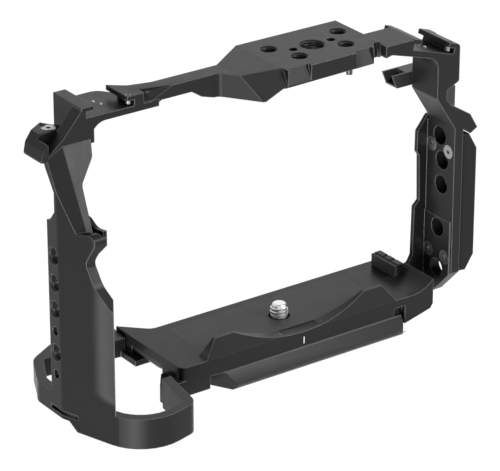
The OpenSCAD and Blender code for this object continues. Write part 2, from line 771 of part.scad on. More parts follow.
// Top bridge between the shoes
module top_bridge() {
    crest = frame_h + top_raise;
    front = [for (s = bridge_front_shares) len(s) < 3
        ? [s.x * upright_reach, s.y * front_depth]
        : [s.x * upright_reach, s.y * front_depth, s.z * corner_r]];
    rear = [[bridge_right, plate_y], [-7.9, plate_y + 0.3], [-ramp_left, 5.5]];
    bar = spots(bar_rear_shares, grip_reach, ring_reach);
    low = spots(bridge_low_shares, upright_reach, frame_h);
    color(coat)
        difference() {
            intersection() {
                prism_z(concat([[-shoe_x, shoe_front]], front, rear, [bar[2], bar[1], bar[0], [-shoe_x, 12]]),
                    leg_low, crest + over);
                prism_y(concat([[-bridge_left, low[0].y]], low,
                    [[bridge_right, top_low], [bridge_right, crest], [-ramp_right, crest],
                    [-ramp_left, frame_h], [-bridge_left, frame_h]]), -front_depth - over, ring_reach);
            }
            intersection() {
                beyond([facet_point.x, facet_point.y, crest], facet_normal, 2 * frame_h);
                block(-bridge_left, -7, -ring_reach, ring_reach, leg_low, frame_h + ring_reach);
            }
            facet_cut(-6.4, name_left);
            facet_cut(name_right, 0.442 * upright_reach);
            tapped_z(top_hole_x, hole_mid_y, top_low, crest, three_eighth_tap_share * three_eighth_d, hole_mouth);
            for (i = [-1, 1]) {
                tapped_z(top_hole_x + i * hole_front_x, hole_front_y, top_low, crest,
                    quarter_tap_share * quarter_d, hole_mouth);
                tapped_z(top_hole_x + i * hole_rear_x, hole_rear_y, top_low, crest,
                    quarter_tap_share * quarter_d, hole_mouth);
                tapped_z(top_hole_x + i * pin_spacing / 2, hole_mid_y, top_low, crest, pin_hole_d, 0);
            }
            block(-bridge_left - over, -bridge_left + lap_l + seat_gap, -front_depth, front_depth,
                leg_low, frame_h - shoe_top + seat_gap);
            block(bridge_right - lap_l - seat_gap, bridge_right + over, lap_front - seat_gap,
                arm_rear + seat_gap, leg_low, top_low + lap_t + seat_gap);
            lap_screw_places_left()
                cylinder(d = lap_screw_d + 2 * seat_gap, h = screw_long + slide_gap);
            lap_screw_places_right()
                cylinder(d = lap_screw_d + 2 * seat_gap, h = screw_short + slide_gap);
            translate([peg_place.x, peg_place.y, top_low - over])
                cylinder(d = peg_d + 2 * seat_gap, h = peg_deep + over);
        }
}
module facet_cut(x0, x1) {
    steep = 1.2;
    rise = top_t + over;
    prism_x([[-front_depth, top_low], [-front_depth + steep * name_facet_lean, top_low + steep * rise],
        [-front_depth - over, top_low + steep * rise], [-front_depth - over, top_low]], x0, x1);
}
peg_place = [20.5, -11.8];
peg_d = 2.2;
peg_deep = 3;
peg_drop = 2.8;
module locating_peg() {
    color(steel)
        translate([peg_place.x, peg_place.y, top_low - peg_drop])
            cylinder(d = peg_d, h = peg_drop + peg_deep);
}
module bridge_screws() {
    color(steel) {
        translate([0, 0, seat_gap])
            lap_screw_places_left()
                flush_screw(lap_screw_d, lap_head_d, lap_head_h, screw_long);
        translate([0, 0, seat_gap])
            lap_screw_places_right()
                flush_screw(lap_screw_d, lap_head_d, lap_head_h, screw_short);
        translate([0, 0, seat_gap])
            lap_screw_places_low()
                flush_screw(lap_screw_d, lap_head_d, lap_head_h, screw_long);
    }
}

// Side frame: arm with the right shoe, upright with its flange, and the foot beside the plate
lap_low_l = 4.8;
fillet_x = 48;
arm_shoe_low = 2.4;
shoe_stop_right = [17.4, -12.3];
shoe_balls_right = [[9.6, -5], [10.9, -7.8]];

module in_right_shoe() {
    translate([shoe_tilt_x, 0, shoe_tilt_z])
        rotate([0, shoe_tilt, 0])
            children();
}
module arm() {
    lower = spots(arm_low_shares, upright_reach, frame_h);
    outer = spots(block_shares, upright_reach, frame_h);
    prism_y(concat([[bridge_right, frame_h], [47.1, frame_h]], outer,
        [[wall_x(), 59.2], [wall_x(), 40], [upright_reach, 40], [upright_reach, upright_knee]],
        [lower[5], lower[4], lower[3], lower[2], lower[1], lower[0]]), -front_depth, arm_rear);
}
module foot_fillet(y0, y1, x1) {
    difference() {
        block(fillet_x, x1, y0, y1, -over, foot_fillet_r);
        translate([fillet_x, y0 - over, foot_fillet_r])
            rotate([-90, 0, 0])
                cylinder(r = foot_fillet_r, h = y1 - y0 + 2 * over, $fn = 96);
    }
}
module upright() {
    edge = spots(flange_shares, upright_reach, frame_h);
    difference() {
        union() {
            block(upright_reach, wall_x(), -front_depth, upright_rear, -plate_t, 59);
            prism_y([[upright_reach - wall_step, -plate_t], [upright_reach - wall_step, wall_step_z],
                [upright_reach + run_gap, wall_step_z + wall_step], [upright_reach + run_gap, -plate_t]],
                1 - front_depth, flange_front + over);
        }
        prism_x([[-front_depth - over, 4.8], [-4, -plate_t - over], [-front_depth - over, -plate_t - over]],
            foot_end + over, wall_x() + over);
    }
    prism_y(concat([[wall_x(), -plate_t], [wall_x(), 60.5], [upright_reach, 60.5]],
        [for (i = [1:len(edge) - 1]) edge[i]],
        [[foot_end - over, 0], [foot_end - over, -plate_t]]), flange_front, upright_rear);
}
module side_foot() {
    block(plate_right, foot_end, -front_depth, plate_rear, -plate_t + 0.7, 0);
    prism_y([[plate_right, -plate_t + 0.8], [foot_end, -plate_t + 0.8], [57.7, -5.7], [56.6, -7.4],
        [45, -foot_block_h]], -front_depth, -4.5);
    block(plate_right, foot_end, -5, plate_rear, -plate_t, -over);
    foot_fillet(-front_depth, flange_front + over, foot_end);
    foot_fillet(flange_front, upright_rear, foot_end);
}
module side_frame() {
    mid = -plate_t / 2;
    color(coat)
        difference() {
            union() {
                arm();
                upright();
                side_foot();
                intersection() {
                    in_right_shoe()
                        block(0, 22, arm_rear - over, right_shoe_rear, -arm_shoe_low, shoe_top);
                    block(0, 66.8, -over, right_shoe_rear + over, 0, frame_h);
                }
                block(bridge_right - lap_l, bridge_right + over, lap_front, arm_rear, top_low, top_low + lap_t);
                block(plate_right - lap_low_l, plate_right + over, -front_depth + 2, plate_rear - 2,
                    -plate_t, mid);
            }
            in_right_shoe() {
                block(0, shoe_slot_w, -front_depth - over, right_shoe_rear + over, 0, shoe_slot_h);
                block((shoe_slot_w - shoe_gap_w) / 2, (shoe_slot_w + shoe_gap_w) / 2, -front_depth - over,
                    right_shoe_rear + over, 0, shoe_top + 2 * over);
                for (p = shoe_balls_right)
                    translate([p.x, p.y, -ball_deep])
                        cylinder(d = ball_d + 2 * seat_gap, h = ball_deep + over);
                translate([shoe_stop_right.x, shoe_stop_right.y, shoe_top - stop_screw_l])
                    cylinder(d = stop_screw_d, h = stop_screw_l + over);
            }
            for (p = wall_holes)
                translate([upright_reach - wall_step - over, p.x, p.y])
                    rotate([0, 90, 0])
                        cylinder(d = wall_hole_d, h = upright_wall + wall_step + 2 * over);
            for (p = rail_screws)
                translate([screw_face(p), p.x, p.y])
                    rotate([0, 90, 0])
                        flush_hole(small_screw_d, small_head_d, small_head_h, upright_wall + wall_step);
            lap_screw_places_right()
                flush_hole(lap_screw_d, lap_head_d, lap_head_h, lap_t);
            lap_screw_places_low()
                flush_hole(lap_screw_d, lap_head_d, lap_head_h, plate_t / 2);
            block(stop_x - seat_gap, stop_x + stop_w + seat_gap, stop_front - seat_gap,
                stop_front + stop_len + seat_gap, 0, frame_h / 2);
            translate([clamp_screw_at.x, arm_rear - clamp_mount_deep, clamp_screw_at.y])
                rotate([-90, 0, 0])
                    cylinder(d = lap_screw_d + 2 * seat_gap, h = clamp_mount_deep + over);
        }
}
module side_rail() {
    x0 = wall_x() + rail_gap;
    x1 = x0 + rail_t;
    color(coat)
        difference() {
            intersection() {
                prism_z([[x0, -rail_front + rail_lean], [x1, -rail_front], [x1, rail_rear], [x0, rail_rear]],
                    rail_low, rail_high);
                prism_y([[x0, rail_low], [x1 - rail_chamfer, rail_low], [x1, rail_low + 2 * rail_chamfer],
                    [x1, rail_high - 2 * rail_chamfer], [x1 - rail_chamfer, rail_high], [x0, rail_high]],
                    -front_depth - over, front_depth);
            }
            for (p = [wall_holes[1], wall_holes[2], wall_holes[3]])
                tapped_x(x0, x1, p.x, p.y, quarter_tap_share * quarter_d, hole_mouth);
            for (p = rail_screws)
                translate([x0 - over, p.x, p.y])
                    rotate([0, 90, 0])
                        cylinder(d = small_screw_d + 2 * seat_gap, h = rail_bite + over);
        }
}
rail_bite = 4.4;
module side_rail_screws() {
    color(steel)
        for (p = rail_screws)
            translate([screw_face(p) + seat_gap, p.x, p.y])
                rotate([0, 90, 0])
                    flush_screw(small_screw_d, small_head_d, small_head_h, wall_x() + rail_gap + rail_bite
                        - screw_face(p) - 3 * seat_gap);
}
module lens_side_stop() {
    color(coat)
        difference() {
            block(stop_x + stop_pad_t, stop_x + stop_w, stop_front, stop_front + stop_len, seat_gap, stop_h);
            for (y = [0.3, 0.6])
                translate([stop_x, stop_front + y * stop_len, stop_h - 0.5])
                    cube([stop_w + over, 0.8, over]);
        }
}
module stop_pad() {
    color(soft)
        block(stop_x, stop_x + stop_pad_t - seat_gap, stop_front, stop_front + stop_len, seat_gap,
            stop_h - 0.4);
}

// Small pieces of the shoes
module shoe_stop_screws() {
    color(steel) {
        translate([shoe_stop_left.x, shoe_stop_left.y, frame_h - stop_screw_l + seat_gap])
            stop_screw();
        in_right_shoe()
            translate([shoe_stop_right.x, shoe_stop_right.y, shoe_top - stop_screw_l + seat_gap])
                stop_screw();
    }
}
module stop_screw() {
    difference() {
        cylinder(d = stop_screw_d - 2 * seat_gap, h = stop_screw_l - 4 * seat_gap);
        translate([0, 0, stop_screw_l - over])
            cylinder(d = socket_share * stop_screw_d, h = over, $fn = 6);
    }
}
module shoe_balls() {
    color(steel) {
        for (p = shoe_balls_left)
            translate([p.x, p.y, frame_h - shoe_top - ball_d / 4])
                sphere(d = ball_d);
        in_right_shoe()
            for (p = shoe_balls_right)
                translate([p.x, p.y, -ball_d / 4])
                    sphere(d = ball_d);
    }
}

// Strap lug behind the left shoulder
lug_profile = [[-97.4, 83.3], [-97.6, 84], [-96.5, 87.5], [-93, 90], [-88, 90.5], [-84, 89], [-80.5, 88],
    [-80.5, 83.3]];
lug_plan = [[-97.5, -3], [-97.5, 8], [-88, 13], [-80.6, 12], [-80.6, 4.7], [-94.2, 4.7], [-94.2, -3]];
module strap_lug() {
    color(coat)
        difference() {
            intersection() {
                prism_y(lug_profile, -ring_reach, ring_reach);
                prism_z(lug_plan, leg_low, frame_h);
            }
            translate([lug_screw_x, lug_screw_y, leg_low])
                cylinder(d = small_screw_d + 2 * seat_gap, h = frame_h);
            translate([lug_screw_x, lug_screw_y, lug_head_z - small_head_h])
                cylinder(d1 = small_screw_d, d2 = small_head_d + 2 * seat_gap, h = small_head_h);
            translate([lug_screw_x, lug_screw_y, lug_head_z])
                cylinder(d = small_head_d + 2 * seat_gap, h = 3 * over);
        }
}
lug_head_z = 90;
module strap_lug_screw() {
    color(steel)
        translate([lug_screw_x, lug_screw_y, lug_head_z - seat_gap])
            rotate([180, 0, 0])
                flush_screw(small_screw_d - 2 * seat_gap, small_head_d, small_head_h, lug_head_z - lug_ear[4]);
}

// Cable clamp behind the upright
clamp_top = clamp_low + clamp_h;
clamp_rear = clamp_front + clamp_ear_t;
clamp_in_y = [clamp_front + clamp_wall, clamp_front + clamp_w - clamp_wall];
clamp_in_z = [clamp_low + clamp_wall, clamp_top - clamp_top_t];
clamp_axis = [clamp_jaw_x + clamp_jaw_len / 2, clamp_front + clamp_w / 2];
module clamp_base() {
    color(soft)
        difference() {
            union() {
                prism_y([[clamp_left, clamp_low], [clamp_left - clamp_tip, clamp_top], [clamp_right, clamp_top],
                    [clamp_right, clamp_low]], clamp_front, clamp_front + clamp_w);
                block(clamp_ear[0], clamp_ear[1], arm_rear + seat_gap, clamp_rear, clamp_top - over,
                    clamp_top + clamp_ear[2]);
                prism_y([[clamp_leg[0], clamp_low + over], [clamp_right, clamp_low + over],
                    [clamp_right, clamp_leg[3]], [clamp_leg[1], clamp_leg[3]], [clamp_leg[1], clamp_leg[2]],
                    [clamp_leg[1] - clamp_jaw_len, clamp_leg[2]], [clamp_leg[0], clamp_leg[3]]],
                    arm_rear + seat_gap, arm_rear + clamp_leg_t);
            }
            block(clamp_left - clamp_tip - over, clamp_right + over, clamp_in_y[0], clamp_in_y[1],
                clamp_in_z[0], clamp_in_z[1]);
            block(clamp_left - clamp_tip - over, clamp_open_x, clamp_in_y[0], clamp_in_y[1],
                clamp_in_z[0], clamp_top + over);
            translate([clamp_axis.x, clamp_axis.y, clamp_low - over])
                cylinder(d = clamp_screw_d + 2 * run_gap, h = clamp_h + 2 * over);
            translate([clamp_screw_at.x, clamp_rear, clamp_screw_at.y])
                rotate([90, 0, 0])
                    flush_hole(lap_screw_d, lap_head_d, lap_head_h, clamp_rear - arm_rear);
        }
}
module clamp_jaw() {
    color(steel)
        difference() {
            block(clamp_jaw_x, clamp_jaw_x + clamp_jaw_len, clamp_in_y[0] + slide_gap,
                clamp_in_y[1] - slide_gap, clamp_in_z[1] - clamp_jaw_t - seat_gap, clamp_in_z[1] - seat_gap);
            translate([clamp_axis.x, clamp_axis.y, clamp_low])
                cylinder(d = clamp_screw_d + 2 * run_gap, h = clamp_h);
        }
}
// The screw turns in place, held by its knob above and its collar below, and carries the jaw
module clamp_screw() {
    color(steel)
        translate([clamp_axis.x, clamp_axis.y, 0]) {
            translate([0, 0, clamp_low - slide_gap])
                cylinder(d = clamp_screw_d, h = clamp_h + 2 * slide_gap + over);
            translate([0, 0, clamp_low - slide_gap - clamp_wall])
                cylinder(d = clamp_collar_d, h = clamp_wall);
            translate([0, 0, clamp_top + slide_gap])
                cylinder(d = clamp_knob_d, h = clamp_knob_h);
        }
}
module clamp_mount_screw() {
    color(steel)
        translate([clamp_screw_at.x, clamp_rear - seat_gap, clamp_screw_at.y])
            rotate([90, 0, 0])
                flush_screw(lap_screw_d, lap_head_d, lap_head_h, clamp_ear_t + clamp_mount_deep);
}

base_plate();
seat_pad();
lens_side_stop();
stop_pad();
quick_release_foot();
foot_screws();
camera_screw();
screw_clip();
hex_key();
key_magnets();
grip_frame();
ring_screws();
top_bridge();
bridge_screws();
side_frame();
side_rail();
side_rail_screws();
locating_peg();
shoe_stop_screws();
shoe_balls();
strap_lug();
strap_lug_screw();
clamp_base();
clamp_jaw();
clamp_screw();
clamp_mount_screw();
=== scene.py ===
# Looks of a camera cage: dressed metal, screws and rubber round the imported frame, and the stage.
import json
import math

import bmesh
import bpy
from mathutils import Matrix, Vector


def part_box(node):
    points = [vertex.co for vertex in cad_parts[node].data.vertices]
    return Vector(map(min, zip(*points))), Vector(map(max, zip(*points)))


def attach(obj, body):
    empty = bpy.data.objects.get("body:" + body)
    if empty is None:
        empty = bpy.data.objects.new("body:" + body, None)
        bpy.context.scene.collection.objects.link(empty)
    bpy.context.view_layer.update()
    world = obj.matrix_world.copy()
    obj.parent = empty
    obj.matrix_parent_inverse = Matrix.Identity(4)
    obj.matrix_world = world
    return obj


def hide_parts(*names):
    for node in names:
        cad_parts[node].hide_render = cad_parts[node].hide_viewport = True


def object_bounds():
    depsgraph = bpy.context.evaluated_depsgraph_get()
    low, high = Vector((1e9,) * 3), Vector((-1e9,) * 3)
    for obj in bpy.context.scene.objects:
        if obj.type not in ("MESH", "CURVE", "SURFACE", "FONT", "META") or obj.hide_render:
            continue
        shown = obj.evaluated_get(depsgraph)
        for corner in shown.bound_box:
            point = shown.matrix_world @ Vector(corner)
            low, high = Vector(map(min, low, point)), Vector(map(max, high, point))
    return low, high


bl_info = {
    "name": "Camera cage looks",
    "version": (1, 0, 0),
    "blender": (4, 5, 0),
    "location": "3D View > Sidebar > Cage",
    "description": "Dresses the packed camera cage and sets its stage",
    "category": "Object",
}

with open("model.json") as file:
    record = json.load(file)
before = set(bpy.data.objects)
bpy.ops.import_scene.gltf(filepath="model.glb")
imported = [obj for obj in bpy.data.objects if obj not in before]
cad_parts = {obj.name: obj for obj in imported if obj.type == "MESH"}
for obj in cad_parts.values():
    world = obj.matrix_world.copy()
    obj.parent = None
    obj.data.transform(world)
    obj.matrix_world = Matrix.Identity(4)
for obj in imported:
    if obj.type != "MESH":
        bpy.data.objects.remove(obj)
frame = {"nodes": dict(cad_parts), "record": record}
CAD_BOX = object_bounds()
MM = 0.001

# The photograph's camera: its place in millimetres, its turn in degrees, its focal length and the
# picture's width in pixels, and the nearest and farthest that it sees in metres
CAMERA_AT = (-567.7, -782.6, 476.6)
CAMERA_YAW = 35.35
CAMERA_PITCH = 24.75
FOCAL_PX = 3060
PHOTO_WIDTH = 500
SENSOR = 36.0
NEAREST = 0.05
FARTHEST = 20

# Softboxes: name, direction from the cage, width and height in metres, and power in watts
LIGHTS = (
    ("key", (0.49, -0.73, 0.46), 0.45, 0.35, 7),
    ("low left", (-0.739, -0.536, -0.407), 0.45, 0.5, 12),
    ("back", (0.525, 0.741, 0.5), 0.8, 0.4, 0.5),
)
LIGHT_DISTANCE = 0.9
CAGE_MIDDLE = Vector((0, 0, 0.04))

# The floor: its radius in metres, its sides, how far it lies under the cage, its own grey and
# roughness, and how strongly and in what share it shows as the backdrop
FLOOR_R = 0.8
FLOOR_SIDES = 64
FLOOR_DROP = 0.05 * MM
FLOOR_GREY = 0.8
FLOOR_ROUGH = 0.9
FLOOR_GLOW = 1.08
FLOOR_GLOW_SHARE = 0.92

# Meshes: how near corners are joined, the turn up to which faces count as flat, the turns in degrees
# from which an edge is sharp or is broken, and the steps of a broken edge
JOIN = 0.002 * MM
FLAT_TURN = math.radians(0.3)
SHARP_TURN = 18
BROKEN_TURN = 32
BROKEN_STEPS = 2

# Surfaces: how far the tint and the roughness stray, how much broader the uneven gloss is than the
# grain, and the grain's depth and detail
TINT_STRAY = 0.12
ROUGH_STRAY = 0.06
BROADER = 40
GRAIN_DEPTH = 0.02 * MM
GRAIN_DETAIL = 3

# Painted edge highlight: the rays that round the edges, and the cosines between the rounded and the flat
# normal at which the painted highlight starts and is full
EDGE_RAYS = 6
HIGHLIGHT_STARTS = 0.998
HIGHLIGHT_FULL = 0.93

# The crown of the post's grip face: where it begins and is full along Y, the limits that pick the
# post's outside from the rest of the frame, and how far the normal leans when it is full
CROWN_Y = (-15.5 * MM, -26.2 * MM)
POST_X = (-78 * MM, -80 * MM)
POST_Z = (0, 6 * MM)
POST_FACING = (-0.85, -0.93)
CROWN_LEAN = (0.1, -0.75, 0)

# The camera screw: its outer radius, the radius past which a corner is on its outside, and the
# rounding of its tip, whose edge lies within a hair of the top
SCREW_R = 3.175 * MM
SCREW_OUTSIDE_R = 2 * MM
TIP_ROUND = 0.9 * MM
TIP_STEPS = 4
HAIR = 0.01 * MM

# The camera screw's thread: how far it stays from the seat and from the tip, its steps to a turn,
# the turn in degrees from which it is sharp, and the turns over which it fades in and out
THREAD_LOW = 0.1 * MM
THREAD_FROM_TIP = 0.7 * MM
THREAD_STEPS = 48
THREAD_SHARP = 35
FADE_IN = 0.4
FADE_OUT = 0.9

# Thread profiles: where crest and feet lie along the axis and how far a hole's ridge rises, as shares
# of the pitch, and how far the feet sink into their metal
SCREW_CREST_SHARES = (0.38, 0.62)
SCREW_FOOT_SHARES = (0.08, 0.92)
HOLE_FOOT_SHARES = (0.1, 0.9)
HOLE_RISE_SHARE = 0.22
SUNK = 0.02 * MM

# Threaded holes: steps to a turn, the turn in degrees from which a ridge's edge is sharp, which none
# reaches, the radius past which a hole is of the larger size, and how much coarser its thread is
HOLE_STEPS = 32
HOLE_SHARP = 180
LARGE_R = 3 * MM
COARSER = 1.25

# The tick line on the lip: its place along X, its half width, its lower and upper end, how far it
# stands proud of the lip, and its thickness
TICK_X = 0.3 * MM
TICK_HALF = 0.18 * MM
TICK_Z = (-5.2 * MM, -2.5 * MM)
TICK_PROUD = 0.015 * MM
TICK_THICK = 0.03 * MM


class CageLook(bpy.types.PropertyGroup):
    """Colours, grain and fine sizes of the cage's surfaces"""
    edge: bpy.props.FloatProperty(name="Edge rounding", description="Radius of the frame's broken edges",
        default=0.42 * MM, min=0, max=2 * MM, subtype="DISTANCE")
    coat: bpy.props.FloatVectorProperty(name="Coat", description="Colour of the anodised metal",
        default=(0.011, 0.011, 0.0112), size=3, min=0, max=1, subtype="COLOR")
    # Painted highlight: a lighter colour laid on the broken edges, standing in for the light their chamfers
    # catch
    highlight_colour: bpy.props.FloatVectorProperty(name="Edges", description="Colour of the metal's broken edges",
        default=(0.13, 0.13, 0.132), size=3, min=0, max=1, subtype="COLOR")
    grain: bpy.props.FloatProperty(name="Grain", description="Strength of the blasted surface's grain",
        default=0.05, min=0, max=1, subtype="FACTOR")
    pitch: bpy.props.FloatProperty(name="Thread pitch", description="Pitch of the camera screw's thread",
        default=1.27 * MM, min=0.5 * MM, max=3 * MM, subtype="DISTANCE")
    thread_depth: bpy.props.FloatProperty(name="Thread depth",
        description="Depth of the camera screw's thread",
        default=0.55 * MM, min=0.1 * MM, max=1 * MM, subtype="DISTANCE")


class CageStage(bpy.types.PropertyGroup):
    """What the cage is shown against"""
    backdrop: bpy.props.FloatVectorProperty(name="Backdrop", description="Colour behind the cage",
        default=(1.0, 1.0, 1.0), size=3, min=0, max=1, subtype="COLOR")
    ambient: bpy.props.FloatProperty(name="Ambient", description="Brightness of the room's soft light",
        default=0.24, min=0, max=4)


# Shader nodes
def reckoned(tree, operation, first, second):
    """The output of a maths node on two sockets, the second of which may be a number."""
    node = tree.nodes.new("ShaderNodeMath")
    node.operation = operation
    tree.links.new(first, node.inputs[0])
    if isinstance(second, bpy.types.NodeSocket):
        tree.links.new(second, node.inputs[1])
    else:
        node.inputs[1].default_value = second
    return node.outputs["Value"]


def risen(tree, value, start, end):
    """Rises smoothly from 0 to 1 as the value goes from start to end."""
    ramp = tree.nodes.new("ShaderNodeMapRange")
    ramp.interpolation_type = "SMOOTHSTEP"
    ramp.inputs["From Min"].default_value = start
    ramp.inputs["From Max"].default_value = end
    tree.links.new(value, ramp.inputs["Value"])
    return ramp.outputs["Result"]


def noise(tree, place, scale):
    """A noise pattern on the piece's own coordinates."""
    node = tree.nodes.new("ShaderNodeTexNoise")
    node.inputs["Scale"].default_value = scale
    tree.links.new(place.outputs["Object"], node.inputs["Vector"])
    return node


def seen_rays(tree):
    """1 for what the camera sees, directly or mirrored."""
    path = tree.nodes.new("ShaderNodeLightPath")
    seen = path.outputs["Is Camera Ray"]
    for ray in ("Is Glossy Ray", "Is Transmission Ray"):
        seen = reckoned(tree, "MAXIMUM", seen, path.outputs[ray])
    return seen


def mixed(tree, share, first, second, output):
    """The output shows the first shader and, by the share, the second."""
    mix = tree.nodes.new("ShaderNodeMixShader")
    tree.links.new(share, mix.inputs["Fac"])
    tree.links.new(first, mix.inputs[1])
    tree.links.new(second, mix.inputs[2])
    tree.links.new(mix.outputs["Shader"], tree.nodes[output].inputs["Surface"])


# Materials
def grained(name, colour, rough, metal, scale, grain, sheen=0.5, rounding=0.0, highlight_colour=None):
    """A surface with a fine grain, slightly uneven gloss and, if asked, softened edges with a painted
    highlight.
    """
    mat = bpy.data.materials.get(name)
    if mat:
        return mat
    mat = bpy.data.materials.new(name)
    mat.use_nodes = True
    tree = mat.node_tree
    nodes, links = tree.nodes, tree.links
    shader = nodes["Principled BSDF"]
    shader.inputs["Metallic"].default_value = metal
    shader.inputs["Specular IOR Level"].default_value = sheen
    place = nodes.new("ShaderNodeTexCoord")
    fine = noise(tree, place, scale)
    fine.inputs["Detail"].default_value = GRAIN_DETAIL
    gloss = nodes.new("ShaderNodeMapRange")
    gloss.inputs["To Min"].default_value = rough - ROUGH_STRAY
    gloss.inputs["To Max"].default_value = rough + ROUGH_STRAY
    links.new(noise(tree, place, scale / BROADER).outputs["Fac"], gloss.inputs["Value"])
    links.new(gloss.outputs["Result"], shader.inputs["Roughness"])
    tint = nodes.new("ShaderNodeMix")
    tint.data_type = "RGBA"
    tint.inputs["A"].default_value = (*[c * (1 - TINT_STRAY) for c in colour], 1)
    tint.inputs["B"].default_value = (*[c * (1 + TINT_STRAY) for c in colour], 1)
    links.new(fine.outputs["Fac"], tint.inputs["Factor"])
    links.new(tint.outputs["Result"], shader.inputs["Base Color"])
    bump = nodes.new("ShaderNodeBump")
    bump.inputs["Strength"].default_value = grain
    bump.inputs["Distance"].default_value = GRAIN_DEPTH
    links.new(fine.outputs["Fac"], bump.inputs["Height"])
    links.new(bump.outputs["Normal"], shader.inputs["Normal"])
    if rounding > 0:
        soft = nodes.new("ShaderNodeBevel")
        soft.samples = EDGE_RAYS
        soft.inputs["Radius"].default_value = rounding
        links.new(crown(tree, place, soft), bump.inputs["Normal"])
        # Painted highlight: the base colour is lightened along the broken edges
        links.new(painted_edge_highlight(tree, soft, tint, highlight_colour), shader.inputs["Base Color"])
    return mat


def crown(tree, place, soft):
    """The rounded normal, turned forwards over the front of the post, whose grip face is crowned."""
    nodes, links = tree.nodes, tree.links
    at = nodes.new("ShaderNodeSeparateXYZ")
    links.new(place.outputs["Object"], at.inputs[0])
    facing = nodes.new("ShaderNodeSeparateXYZ")
    links.new(soft.outputs["Normal"], facing.inputs[0])
    share = risen(tree, at.outputs["Y"], *CROWN_Y)
    for value, limits in ((at.outputs["X"], POST_X), (facing.outputs["X"], POST_FACING),
            (at.outputs["Z"], POST_Z)):
        share = reckoned(tree, "MULTIPLY", share, risen(tree, value, *limits))
    lean = nodes.new("ShaderNodeVectorMath")
    lean.operation = "SCALE"
    lean.inputs[0].default_value = CROWN_LEAN
    links.new(share, lean.inputs["Scale"])
    leant = nodes.new("ShaderNodeVectorMath")
    leant.operation = "ADD"
    links.new(soft.outputs["Normal"], leant.inputs[0])
    links.new(lean.outputs["Vector"], leant.inputs[1])
    unit = nodes.new("ShaderNodeVectorMath")
    unit.operation = "NORMALIZE"
    links.new(leant.outputs["Vector"], unit.inputs[0])
    return unit.outputs["Vector"]


def painted_edge_highlight(tree, soft, tint, highlight_colour):
    """The tint, lightened where the rounded normal leaves the flat one: a painted highlight along the
    broken edges.
    """
    nodes, links = tree.nodes, tree.links
    flat = nodes.new("ShaderNodeNewGeometry")
    nearness = nodes.new("ShaderNodeVectorMath")
    nearness.operation = "DOT_PRODUCT"
    links.new(soft.outputs["Normal"], nearness.inputs[0])
    links.new(flat.outputs["Normal"], nearness.inputs[1])
    mix = nodes.new("ShaderNodeMix")
    mix.data_type = "RGBA"
    mix.inputs["B"].default_value = (*highlight_colour, 1)
    links.new(risen(tree, nearness.outputs["Value"], HIGHLIGHT_STARTS, HIGHLIGHT_FULL), mix.inputs["Factor"])
    links.new(tint.outputs["Result"], mix.inputs["A"])
    return mix.outputs["Result"]


def coat_metal():
    look = bpy.context.scene.cage_look
    # The lighter edge colour is a painted highlight along the broken edges
    return grained("anodised_coat", tuple(look.coat), rough=0.34, metal=0, scale=9000, grain=look.grain,
        sheen=0.15, rounding=look.edge, highlight_colour=tuple(look.highlight_colour))


def bright_steel():
    return grained("bright_steel", (0.62, 0.62, 0.63), rough=0.3, metal=1, scale=6000, grain=0.04)


def head_steel():
    return grained("plated_heads", (0.33, 0.33, 0.34), rough=0.34, metal=1, scale=6000, grain=0.04)


def dark_steel():
    return grained("blackened_steel", (0.09, 0.09, 0.095), rough=0.35, metal=1, scale=6000, grain=0.04)


def magnet_metal():
    return grained("nickel_plate", (0.6, 0.6, 0.62), rough=0.2, metal=1, scale=6000, grain=0.02)


def rubber():
    return grained("matt_rubber", (0.022, 0.022, 0.023), rough=0.62, metal=0, scale=4000, grain=0.2)


def moulded():
    return grained("clamp_plastic", (0.02, 0.02, 0.021), rough=0.45, metal=0, scale=5000, grain=0.15)


def tick_paint():
    return grained("tick_paint", (0.62, 0.62, 0.62), rough=0.5, metal=0, scale=3000, grain=0.02)


# Meshes
def new_piece(name, bm, material, sharp=SHARP_TURN):
    """An object of the mesh, evenly shaded up to its sharp edges."""
    mesh = bpy.data.meshes.new(name)
    bm.to_mesh(mesh)
    bm.free()
    obj = bpy.data.objects.new(name, mesh)
    bpy.context.scene.collection.objects.link(obj)
    mesh.materials.append(material)
    for face in mesh.polygons:
        face.use_smooth = True
    mesh.set_sharp_from_angle(angle=math.radians(sharp))
    even = obj.modifiers.new("even shading", "WEIGHTED_NORMAL")
    even.keep_sharp = True
    return obj


def made_whole(bm):
    """Joins a mesh's split corners and makes its flat faces whole."""
    bmesh.ops.remove_doubles(bm, verts=bm.verts, dist=JOIN)
    bmesh.ops.dissolve_limit(bm, angle_limit=FLAT_TURN, verts=bm.verts, edges=bm.edges)
    return bm


def node_mesh(node):
    """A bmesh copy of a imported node, made whole."""
    bm = bmesh.new()
    bm.from_mesh(frame["nodes"][node].data)
    return made_whole(bm)


def bevelled(obj, width):
    """The piece with its edges broken in place of its even shading."""
    obj.modifiers.clear()
    bevel = obj.modifiers.new("broken edges", "BEVEL")
    bevel.width = width
    bevel.segments = BROKEN_STEPS
    bevel.limit_method = "ANGLE"
    bevel.angle_limit = math.radians(BROKEN_TURN)
    bevel.use_clamp_overlap = False
    bevel.miter_outer = "MITER_ARC"
    bevel.harden_normals = True
    return obj


def united(name, nodes, material):
    """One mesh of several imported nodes, so that no seam shows between them."""
    whole = None
    for node in nodes:
        obj = new_piece(f"{name}_{node}", node_mesh(node), material)
        obj.modifiers.clear()
        if whole is None:
            whole = obj
            continue
        joint = whole.modifiers.new("union", "BOOLEAN")
        joint.operation = "UNION"
        joint.solver = "EXACT"
        joint.object = obj
        graph = bpy.context.evaluated_depsgraph_get()
        mesh = bpy.data.meshes.new_from_object(whole.evaluated_get(graph))
        whole.modifiers.clear()
        whole.data = mesh
        bpy.data.objects.remove(obj)
    bm = bmesh.new()
    bm.from_mesh(whole.data)
    bpy.data.objects.remove(whole)
    return new_piece(name, made_whole(bm), material)


